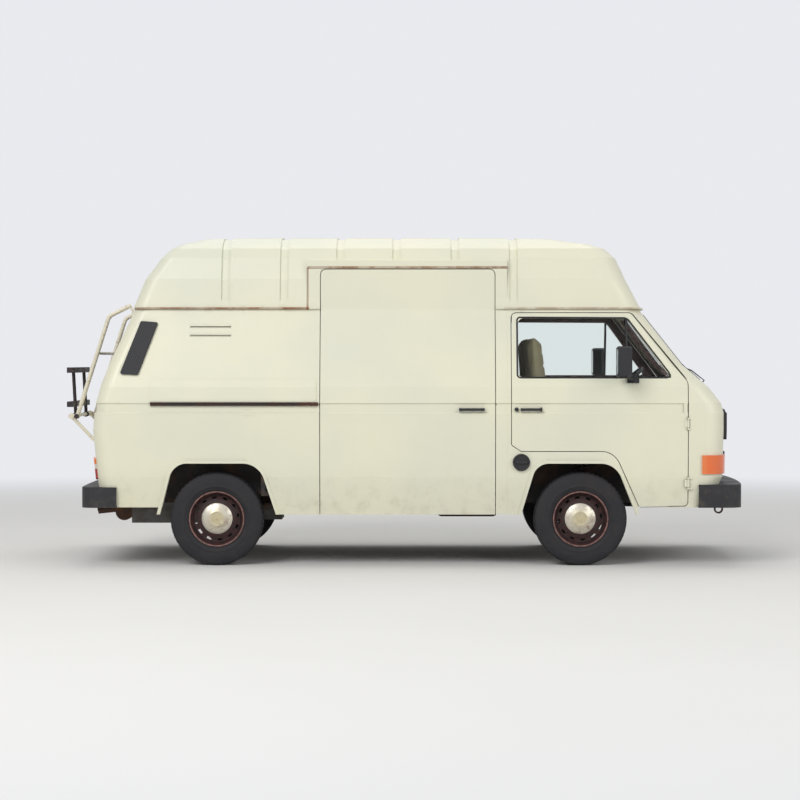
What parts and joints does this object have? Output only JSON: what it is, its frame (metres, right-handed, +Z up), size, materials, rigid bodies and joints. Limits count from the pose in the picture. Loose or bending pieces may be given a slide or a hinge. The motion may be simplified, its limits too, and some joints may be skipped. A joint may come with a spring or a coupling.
{
  "type": "camper van",
  "caption": "Forward-control camper van with a raised roof, sliding side door, hinged cab doors and a tailgate that carries a folding cycle carrier; wheels roll and steer.",
  "frame": {"origin": "on the ground, below the middle of the vehicle's box", "axes": "+X forward, +Y to the vehicle's left, +Z up"},
  "size_m": [4.6788, 2.2, 2.242],
  "materials": {
    "body_paint": "aged cream gloss paint",
    "underbody": "matt black underseal",
    "black_plastic": "grained black plastic",
    "dash_plastic": "grained dark plastic",
    "clear_glass": "clear safety glass",
    "lamp_glass": "fluted lamp glass",
    "orange_lens": "orange lens",
    "red_lens": "red lens",
    "seat_fabric": "woven fawn seat cloth",
    "cast_alloy": "dull casting",
    "rusty_steel": "rusty steel",
    "tyre_rubber": "worn rubber",
    "wheel_paint": "rusty red-brown paint",
    "rack_paint": "off-white paint"
  },
  "bodies": {
    "root": {"floor_pan": "underbody", "cab_frame": "body_paint", "side_panel_right": "body_paint", "side_panel_left": "body_paint", "rear_panel": "body_paint", "high_roof": "body_paint", "sliding_door": "body_paint", "sliding_door_rail": "black_plastic", "windscreen": "clear_glass", "bumpers": "black_plastic", "grilles": "black_plastic", "headlamps": "lamp_glass", "front_indicators": "orange_lens", "tail_lamps": "red_lens", "air_intakes": "black_plastic", "dashboard": "dash_plastic", "seat_bases": "underbody", "seat_cushions": "seat_fabric", "seat_backs": "seat_fabric", "fuel_cap": "black_plastic", "front_crossmember": "underbody", "steering_rack": "underbody", "rear_axle": "underbody", "engine_and_gearbox": "cast_alloy", "exhaust": "rusty_steel", "fuel_tank": "underbody", "radiator": "cast_alloy", "spare_wheel": "tyre_rubber", "tow_eyes": "underbody", "sliding_door_handle": "black_plastic"},
    "steering_wheel_body": {"steering_wheel": "black_plastic"},
    "knuckle_right_body": {"knuckle_right": "cast_alloy"},
    "knuckle_left_body": {"knuckle_left": "cast_alloy"},
    "door_right_body": {"cab_door_right": "body_paint", "door_glass_right": "clear_glass", "mirror_right": "black_plastic", "door_handle_right": "black_plastic"},
    "door_left_body": {"cab_door_left": "body_paint", "door_glass_left": "clear_glass", "mirror_left": "black_plastic", "door_handle_left": "black_plastic"},
    "tailgate_body": {"tailgate": "body_paint", "tailgate_glass": "clear_glass", "rack_frame": "rack_paint"},
    "platform_body": {"rack_platform": "rack_paint"},
    "wheel_front_right_body": {"tyre_front_right": "tyre_rubber", "wheel_front_right": "wheel_paint"},
    "wheel_front_left_body": {"tyre_front_left": "tyre_rubber", "wheel_front_left": "wheel_paint"},
    "wheel_rear_right_body": {"tyre_rear_right": "tyre_rubber", "wheel_rear_right": "wheel_paint"},
    "wheel_rear_left_body": {"tyre_rear_left": "tyre_rubber", "wheel_rear_left": "wheel_paint"}
  },
  "joints": [
    {"name": "steer_right", "type": "hinge", "parent": "root", "child": "knuckle_right_body", "pos_m": [1.2, -0.735, 0.315], "axis": [0, 0, 1], "range_deg": [-32, 32]},
    {"name": "steer_left", "type": "hinge", "parent": "root", "child": "knuckle_left_body", "pos_m": [1.2, 0.735, 0.315], "axis": [0, 0, 1], "range_deg": [-32, 32]},
    {"name": "steering_wheel_turn", "type": "hinge", "parent": "root", "child": "steering_wheel_body", "pos_m": [1.6, 0.42, 1.2], "axis": [-0.6691, 0, 0.7431], "range_deg": [-512, 512]},
    {"name": "cab_door_right_hinge", "type": "hinge", "parent": "root", "child": "door_right_body", "pos_m": [1.9195, -0.926, 0.9], "axis": [0, 0, 1], "range_deg": [0, 65]},
    {"name": "cab_door_left_hinge", "type": "hinge", "parent": "root", "child": "door_left_body", "pos_m": [1.9195, 0.926, 0.9], "axis": [0, 0, 1], "range_deg": [-65, 0]},
    {"name": "tailgate_hinge", "type": "hinge", "parent": "root", "child": "tailgate_body", "pos_m": [-1.838, 0, 1.75], "axis": [0, 1, 0], "range_deg": [0, 75]},
    {"name": "platform_fold", "type": "hinge", "parent": "tailgate_body", "child": "platform_body", "pos_m": [-2.303, 0, 0.999], "axis": [0, -1, 0], "range_deg": [0, 90]},
    {"name": "spin_front_right", "type": "hinge", "parent": "knuckle_right_body", "child": "wheel_front_right_body", "pos_m": [1.2, -0.785, 0.315], "axis": [0, 1, 0], "continuous": true},
    {"name": "spin_front_left", "type": "hinge", "parent": "knuckle_left_body", "child": "wheel_front_left_body", "pos_m": [1.2, 0.785, 0.315], "axis": [0, 1, 0], "continuous": true},
    {"name": "spin_rear_right", "type": "hinge", "parent": "root", "child": "wheel_rear_right_body", "pos_m": [-1.26, -0.785, 0.315], "axis": [0, 1, 0], "continuous": true},
    {"name": "spin_rear_left", "type": "hinge", "parent": "root", "child": "wheel_rear_left_body", "pos_m": [-1.26, 0.785, 0.315], "axis": [0, 1, 0], "continuous": true}
  ],
  "couplings": [
    {"joint": "steer_left", "follows": "steer_right", "ratio": 1},
    {"joint": "steering_wheel_turn", "follows": "steer_right", "ratio": 16}
  ]
}
